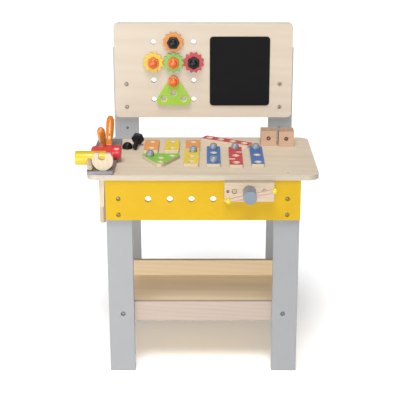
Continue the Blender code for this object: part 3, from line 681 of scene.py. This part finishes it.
def makeGears():
    for node, (look, boltLook, across, turn) in gears.items():
        low, high = nodeBox(node)
        middle = (low + high) / 2
        phase = 0.0 if node == "gear_green" else math.pi / gearShape["teeth"]   # half a tooth, to mesh
        blank = gearBlank(high.y - low.y, phase)
        wheel = joinAndCut(blank, cuts=[pegs([(0, 0, 0)], gearShape["bore"], 40, (0, 0, 1), 48)])
        piece(node + "_wheel", stand(wheel, (middle.x, high.y, middle.z), (0, -1, 0)), look, node, edge=1.1,
              steps=3, sharp=50)
        under = (middle.x, low.y - bolt["gap"], middle.z)
        piece(f"bolt_of_{node}_turned", stand(playBolt(bolt["length"], across, turn), under, (0, -1, 0)),
              boltLook, "bolt_of_" + node, edge=0)


def softTriangle(base, height, radius, thick):   # apex hole at the origin, base towards -y
    slope = math.atan2(height - 2 * radius, base / 2 - radius)
    apexHalf = math.pi / 2 - slope
    apexY, baseY = radius / math.sin(apexHalf), radius - height
    reach = (apexY - baseY) * math.tan(apexHalf)
    bm = prism([(0, apexY), (-reach, baseY), (reach, baseY)], thick)
    corners = [e for e in bm.edges if abs(e.verts[0].co.z - e.verts[1].co.z) > thick / 2]
    cuts = [radius / math.tan(apexHalf if e.verts[0].co.y > 0 else slope / 2) for e in corners]
    for edge, cut in zip(corners, cuts):
        bmesh.ops.bevel(bm, geom=[edge], offset=cut, offset_type="OFFSET", segments=14, profile=0.5,
                        affect="EDGES", material=-1)
    return bm


triangles = {   # size: base, height, corner radius
    "holeRadius": 6.0,
    "wall": {"size": (84.0, 75.0, 13.0), "holes": ((0, 0), (0, -31), (-25, -45), (25, -45))},
    "bench": {"size": (89.0, 84.0, 13.0), "holes": ((0, 0), (0, -32), (-26, -52), (26, -52))},
}


def trianglePlate(kind, thick):
    shape = triangles[kind]
    blank = softTriangle(*shape["size"], thick)
    return joinAndCut(blank, cuts=sunkHoles(shape["holes"], triangles["holeRadius"], thick))


def makeTriangles():
    low, high = nodeBox("wall_triangle")
    middleX, radius = (low.x + high.x) / 2, triangles["wall"]["size"][2]
    plate = stand(trianglePlate("wall", high.y - low.y), (middleX, high.y, high.z - radius), (0, -1, 0))
    piece("wall_triangle_plate", plate, "wallTriangle", "wall_triangle", edge=1.9, steps=4)
    under = (middleX, low.y - bolt["gap"], high.z - radius)
    piece("bolt_of_wall_triangle_turned", stand(playBolt(bolt["length"]), under, (0, -1, 0)), "orange",
          "bolt_of_wall_triangle", edge=0)
    low, high = nodeBox("bench_triangle")
    plate = trianglePlate("bench", high.z - low.z)
    bmesh.ops.rotate(plate, verts=plate.verts, cent=(0, 0, 0), matrix=Matrix.Rotation(math.pi, 3, "Z"))
    apex = ((low.x + high.x) / 2, low.y + triangles["bench"]["size"][2], low.z)
    piece("bench_triangle_plate", stand(plate, apex), "benchTriangle", "bench_triangle", edge=1.3)


makeGears()
makeTriangles()
print("gears and triangles made")


# rack and hand tools

rackCorner = 4.0


def makeRack():
    low, high = nodeBox("tool_rack")
    bits = slotBits(("spanner", "hammer", "pliers"), low.z, high.z)
    board = joinAndCut(beam(low, high, rackCorner, "Z", 6), cuts=bits)
    piece("tool_rack_board", board, "rack", "tool_rack", edge=1.0)


spanner = {
    "middle": -229.5, "centre": 535.6, "tilt": math.radians(2.66),
    "head": 24.0, "grip": 5.5, "jaw": (-9.5, 5.6),   # head's radius, handle's half, sides of the mouth
    "top": 17.4, "throat": 5.2, "foot": -112.6,      # heights above the head's middle
    "throatRound": 0.65,
}


def makeSpanner():   # drawn upright about the middle of its head, then leant to the right
    low, high = nodeBox("spanner")
    head, grip, jaw, top, throat = (spanner[key] for key in ("head", "grip", "jaw", "top", "throat"))
    middleY, thick = (low.y + high.y) / 2, high.y - low.y
    disc = pegs([(0, 0, 0)], head, thick, (0, 1, 0), 96)
    shank = beam((-grip, -thick / 2, spanner["foot"]), (grip, thick / 2, 0), 3.0, "Y", 6)
    past = 20
    trim = beam((-head - past, -past, top), (head + past, past, top + past))
    mouth = beam((jaw[0], -past, throat), (jaw[1], past, top + past))
    curve = pegs([(0, 0, 0)], (jaw[1] - jaw[0]) / 2, past * 2, (0, 1, 0), 48)
    bmesh.ops.scale(curve, verts=curve.verts, vec=(1, 1, spanner["throatRound"]))
    bmesh.ops.translate(curve, verts=curve.verts, vec=((jaw[0] + jaw[1]) / 2, 0, throat + 0.2))
    plate = joinAndCut(disc, joins=[shank], cuts=[trim, mouth, curve])
    lean = Matrix.Rotation(spanner["tilt"], 4, "Y")
    place = Matrix.Translation((spanner["middle"], middleY, spanner["centre"])) @ lean
    bmesh.ops.transform(plate, matrix=place, verts=plate.verts)
    piece("spanner_plate", plate, "spanner", "spanner", edge=1.4, steps=4)


mallet = {
    "seat": (-3.2, -6.0),          # the handle's start from the head's middle, x and y
    "end": (2.8, -9.0, 7.1),       # its end: x from the middle, y, height over the rack
    "handle": 6.0, "bore": 6.3, "boreDepth": 40.0, "clear": 0.3,
}


def makeMallet():
    low, high = nodeBox("mallet_head")
    centre = (low + high) / 2
    half, radius = (high.x - low.x) / 2, (high.z - low.z) / 2
    head = lathe([(0, -half), (radius - 2.4, -half), (radius - 1.2, -half + 0.4), (radius - 0.3, -half + 1.3),
                  (radius, -half + 2.6), (radius, half - 2.6), (radius - 0.3, half - 1.3),
                  (radius - 1.2, half - 0.4), (radius - 2.4, half), (0, half)], 64)
    stand(head, centre, (1, 0, 0))
    aside, endY, above = mallet["end"]
    end = Vector((centre.x + aside, endY, nodeBox("tool_rack")[1].z + above))
    seat = Vector((centre.x + mallet["seat"][0], centre.y + mallet["seat"][1], centre.z))
    along = (end - seat).normalized()
    depth = mallet["boreDepth"]
    bore = pegs([seat + along * (depth / 2 - mallet["clear"])], mallet["bore"], depth, along)
    piece("mallet_head_turned", joinAndCut(head, cuts=[bore]), "yellow", "mallet_head", edge=0.5, steps=2)
    length, grip = (end - seat).length, mallet["handle"]
    handle = lathe([(0, 0), (grip - 0.8, 0), (grip, 0.8), (grip, length - 2.4), (grip - 0.4, length - 1.2),
                    (grip - 1.6, length - 0.3), (grip - 3.4, length), (0, length + 0.05)], 40)
    piece("mallet_handle_turned", stand(handle, seat, along), "dowelY", "mallet_handle", edge=0)


hammer = {
    "y": 92.0, "faceX": -194.0, "faceRadius": 16.5, "faceLength": 22.0, "eyeGap": 0.3,
    "neckX": -215.0, "neckRise": 6, "thick": 18.0,
    "claw": ((2, 8), (-12, 8.5), (-38, 7.5), (-48, 4.0), (-50, 1.2), (-49, -1), (-36, -3), (-12, -8),
             (2, -9)),
    "forkReach": 14, "forkHalf": 2,   # the cleft that leaves two claws
}


def makeHammer():
    low = nodeBox("hammer_head")[0]
    y, radius, long, forkHalf = hammer["y"], hammer["faceRadius"], hammer["faceLength"], hammer["forkHalf"]
    centreZ = low.z + radius
    face = lathe([(0, 0), (radius - 2.2, 0), (radius - 0.7, 0.6), (radius, 2.0), (radius, long - 2.0),
                  (radius - 0.6, long - 0.8), (radius - 2.0, long), (0, long)], 64)
    stand(face, (hammer["faceX"], y, centreZ), (-1, 0, 0))
    claw = prism(hammer["claw"], hammer["thick"])
    turn = Matrix.Translation((hammer["neckX"], y + hammer["thick"] / 2, centreZ + hammer["neckRise"]))
    bmesh.ops.transform(claw, matrix=turn @ Matrix.Rotation(math.pi / 2, 4, "X"), verts=claw.verts)
    fork = beam((low.x - 7, y - forkHalf, centreZ - 30),
                (low.x + hammer["forkReach"], y + forkHalf, centreZ + 30), 1.5, "Z", 4)
    handleLow, handleHigh = nodeBox("hammer_handle")
    gripX, gripRadius = (handleLow.x + handleHigh.x) / 2, (handleHigh.x - handleLow.x) / 2
    eye = pegs([(gripX, y, centreZ)], gripRadius + hammer["eyeGap"], 80, (0, 0, 1))
    piece("hammer_head_block", joinAndCut(face, joins=[claw], cuts=[fork, eye]), "red", "hammer_head",
          edge=1.3)
    length = handleHigh.z - handleLow.z
    handle = lathe([(0, 0), (5.8, 0), (6.6, 0.5), (gripRadius, 1.4), (gripRadius, length - 2),
                    (gripRadius - 0.5, length - 0.6), (gripRadius - 1.6, length), (0, length)], 40)
    piece("hammer_handle_turned", stand(handle, (gripX, y, handleLow.z)), "handle", "hammer_handle", edge=0)


pliers = {
    "y": 152.0, "z": 525.0, "lean": math.radians(44.0), "round": 5.6, "roundFrom": 9, "pin": 4.0, "eye": 4.3,
    "grip": ((0, 22), (5.5, 22.4), (8.2, 26), (9.4, 34), (10, 48), (10, 64), (9.4, 73), (7.6, 79),
             (4.6, 82.2), (0, 83)),   # radius and distance from the pin
    "outline": ((-5, 10), (-7, 24), (-9, 42), (-9.5, 62), (-8, 77), (-4, 83), (4, 83), (8, 77), (9.5, 62),
                (9, 42), (7, 24), (5, 10), (9, 4), (9, -4), (6, -12), (4.5, -20), (-2, -20), (-7, -12),
                (-9, -4), (-9, 4)),
}


def makePliers():
    for node, sign in (("pliers_near_half", -1), ("pliers_far_half", 1)):
        low, high = nodeBox(node)
        thick = high.x - low.x
        half = prism([(x * sign, y) for x, y in pliers["outline"]], thick)
        rims = [e for e in half.edges if abs(e.verts[0].co.z - e.verts[1].co.z) < 0.001
                and min(v.co.y for v in e.verts) > pliers["roundFrom"]]
        bmesh.ops.bevel(half, geom=rims, offset=pliers["round"], offset_type="OFFSET", segments=6,
                        profile=0.5, affect="EDGES", material=-1, clamp_overlap=True)
        upright = Matrix.Rotation(math.pi / 2, 4, "Z") @ Matrix.Rotation(math.pi / 2, 4, "X")
        lean = Matrix.Rotation(-pliers["lean"] * sign, 4, "X")
        place = Matrix.Translation((low.x, pliers["y"], pliers["z"])) @ lean
        bmesh.ops.transform(half, matrix=place @ upright, verts=half.verts)
        grip = lathe(pliers["grip"])
        bmesh.ops.translate(grip, verts=grip.verts, vec=(thick / 2, 0, 0))
        bmesh.ops.transform(grip, matrix=place, verts=grip.verts)
        eye = pegs([((low.x + high.x) / 2, pliers["y"], pliers["z"])], pliers["eye"], 40, (1, 0, 0))
        piece(node + "_grip", joinAndCut(half, joins=[grip], cuts=[eye]), "pliers", node, edge=1.0, sharp=60)
    low, high = nodeBox("pliers_pin")
    length, radius = high.x - low.x, pliers["pin"]
    pin = lathe([(0, 0), (radius - 0.8, 0), (radius, 0.8), (radius, length - 0.8), (radius - 0.8, length),
                 (0, length)], 32)
    stand(pin, (low.x, pliers["y"], pliers["z"]), (1, 0, 0))
    piece("pliers_pin_turned", pin, "black", "pliers_pin", edge=0)


makeRack()
makeSpanner()
makeMallet()
makeHammer()
makePliers()
print("rack and tools made")


# loose pieces on the worktop

strips = {   # node: look, width, hole offsets along the strip
    "strip_orange_left": ("stripOrange", 36, (-27, 27)),
    "strip_yellow_back": ("stripYellow", 36, (-27, 27)),
    "strip_orange_right": ("stripOrange", 36, (-20, 20)),
    "strip_yellow_front": ("stripYellow", 36, (-42, 0, 42)),
    "strip_blue_left": ("stripBlue", 33, (-55, -18, 18, 55)),
    "strip_red": ("stripRed", 32, (-56, 0, 60)),
    "strip_blue_right": ("stripBlue", 31, (-57, 0, 54)),
    "strip_red_long": ("stripRed", 29, (-50, -17, 17, 50)),
}
stripShape = {
    "hole": 6.4, "corner": 3.2,
    "notch": (24, 33), "notchInner": 2,   # in the red one: from and to along it, and how near its middle
}
longStrip = {"turn": math.radians(59.3), "length": 134.0}   # the only one that lies askew


def makeStrips():
    for node, (look, width, offsets) in strips.items():
        low, high = nodeBox(node)
        centre, thick = (low + high) / 2, high.z - low.z
        turn, length = 0, high.y - low.y
        if node == "strip_red_long":
            turn, length = longStrip["turn"], longStrip["length"]
        far, corner = Vector((width / 2, length / 2, thick)), stripShape["corner"]
        blank = beam((-far.x, -far.y, 0), far, corner, "Z", 6)
        cuts = sunkHoles([(0, offset) for offset in offsets], stripShape["hole"], thick)
        if node == "strip_red":   # open notches from both sides
            (start, end), inner = stripShape["notch"], stripShape["notchInner"]
            cuts += [beam((inner, start, -9), (width, end, 20), 2.0, "Z", 4),
                     beam((-width, -end, -9), (-inner, -start, 20), 2.0, "Z", 4)]
        strip = joinAndCut(blank, cuts=cuts)
        bmesh.ops.rotate(strip, verts=strip.verts, cent=(0, 0, 0), matrix=Matrix.Rotation(turn, 3, "Z"))
        piece(node + "_plate", stand(strip, (centre.x, centre.y, low.z)), look, node, edge=1.0)


cubeBores = {"Y": 5.5, "Z": 4.0}   # radius of the hole along each axis


def makeCubes():
    for node in ("cube_left", "cube_right"):
        low, high = nodeBox(node)
        centre = (low + high) / 2
        cuts = [pegs([centre], radius, 60, axes[axis]) for axis, radius in cubeBores.items()]
        piece(node + "_block", joinAndCut(beam(low, high), cuts=cuts), "cube", node, edge=2.2, steps=4)


greyBolts = {   # extra ones: which body each rides on, x, y
    "extra": {"strip_yellow_front": (-24, 152), "strip_blue_left": (25, 178), "strip_blue_right": (129, 176)},
    "profile": ((0, -8), (4.8, -8), (5.5, -7), (5.5, 0), (8.6, 0), (9.3, 0.7), (9.5, 4.0), (9.4, 6.4),
                (8.9, 8.6), (7.9, 10.5), (6.4, 12.1), (4.5, 13.2), (2.3, 13.8), (0, 14)),
    "rise": 14.0,
}
lyingBolt = {
    "at": (-164, 226, 520.7), "lean": math.radians(13), "aside": 0.12,
    "shank": 41.6, "across": 33.0, "turn": 30,
}


def makeLooseBolts():
    for node in ("grey_bolt_triangle", "grey_bolt_blue", "grey_bolt_red"):
        low, high = nodeBox(node)
        at = ((low.x + high.x) / 2, (low.y + high.y) / 2, high.z - greyBolts["rise"])
        piece(node + "_turned", stand(lathe(greyBolts["profile"], 40), at), "boltGrey", node, edge=0)
    seat = nodeBox("grey_bolt_blue")[1].z - greyBolts["rise"]
    for host, (x, y) in greyBolts["extra"].items():
        piece("grey_bolt_on_" + host, stand(lathe(greyBolts["profile"], 40), (x, y, seat)), "boltGrey",
              body=bodyOf[host], edge=0)
    lean = lyingBolt["lean"]
    along = Vector((lyingBolt["aside"], math.cos(lean), math.sin(lean))).normalized()
    lying = playBolt(lyingBolt["shank"], lyingBolt["across"], lyingBolt["turn"])
    stand(lying, lyingBolt["at"], along)
    piece("black_bolt_lying_turned", lying, "black", "black_bolt_lying", edge=0)
    low, high = nodeBox("black_cap_nut")
    at = ((low.x + high.x) / 2, (low.y + high.y) / 2, low.z)
    piece("black_cap_nut_turned", stand(playBolt(0, high.x - low.x), at), "black", "black_cap_nut", edge=0)


makeStrips()
makeCubes()
makeLooseBolts()
print("loose pieces made")


# floor, light and camera

studio = {
    "floor": 40.0, "floorColour": (0.98, 0.98, 0.98, 1.0), "floorRoughness": 0.85,   # metres
    "sky": 0.3,
    "suns": {   # turn, strength, size in degrees, whether it casts shadows
        "key": ((27, 0, -6), 3.1, 28, True),
        "front": ((85, 0, 0), 1.25, 20, False),
    },
    "side": {"place": (-1300, -1500, 260), "aim": (0, 100, 400), "power": 29.0, "size": 1.0},
}


def makeStudio():
    bm = bmesh.new()
    bmesh.ops.create_grid(bm, x_segments=1, y_segments=1, size=studio["floor"] / 2)
    mesh = bpy.data.meshes.new("floor")
    bm.to_mesh(mesh)
    bm.free()
    floor = bpy.data.objects.new("floor", mesh)
    bpy.context.scene.collection.objects.link(floor)
    pale = Finish("floor_white", None)
    pale.surface(studio["floorColour"], studio["floorRoughness"])
    mesh.materials.append(pale.material)
    world = bpy.data.worlds.new("studio")
    bpy.context.scene.world = world
    world.use_nodes = True
    sky = world.node_tree.nodes["Background"]
    sky.inputs["Color"].default_value = (1, 1, 1, 1)
    sky.inputs["Strength"].default_value = studio["sky"]
    for name, (turn, strength, angle, shadows) in studio["suns"].items():
        sun = bpy.data.lights.new(name, "SUN")
        sun.energy, sun.angle, sun.use_shadow = strength, math.radians(angle), shadows
        made = bpy.data.objects.new(name, sun)
        made.rotation_euler = [math.radians(part) for part in turn]
        bpy.context.scene.collection.objects.link(made)
    side = bpy.data.lights.new("side", "AREA")
    side.energy, side.size, side.use_shadow = studio["side"]["power"], studio["side"]["size"], False
    made = bpy.data.objects.new("side", side)
    place, aim = Vector(studio["side"]["place"]), Vector(studio["side"]["aim"])
    made.location = benchOrigin + place * mm
    made.rotation_euler = (place - aim).to_track_quat("Z", "Y").to_euler()
    bpy.context.scene.collection.objects.link(made)
    bpy.context.scene.view_settings.view_transform = "Standard"


cameraSetting = {
    "place": (9.0, -2296.7, 1240.6), "pitch": 17.31,
    "lens": 94.6, "sensor": 36.0, "shift": (-0.0172, -0.0875),
}


def makeCamera():
    eye = bpy.data.cameras.new("camera")
    eye.sensor_width = cameraSetting["sensor"]
    eye.lens = cameraSetting["lens"]
    eye.shift_x, eye.shift_y = cameraSetting["shift"]
    made = bpy.data.objects.new("camera", eye)
    made.location = benchOrigin + Vector(cameraSetting["place"]) * mm
    made.rotation_euler = (math.radians(90 - cameraSetting["pitch"]), 0, 0)
    bpy.context.scene.collection.objects.link(made)
    bpy.context.scene.camera = made


makeStudio()
makeCamera()
print("studio and camera made")
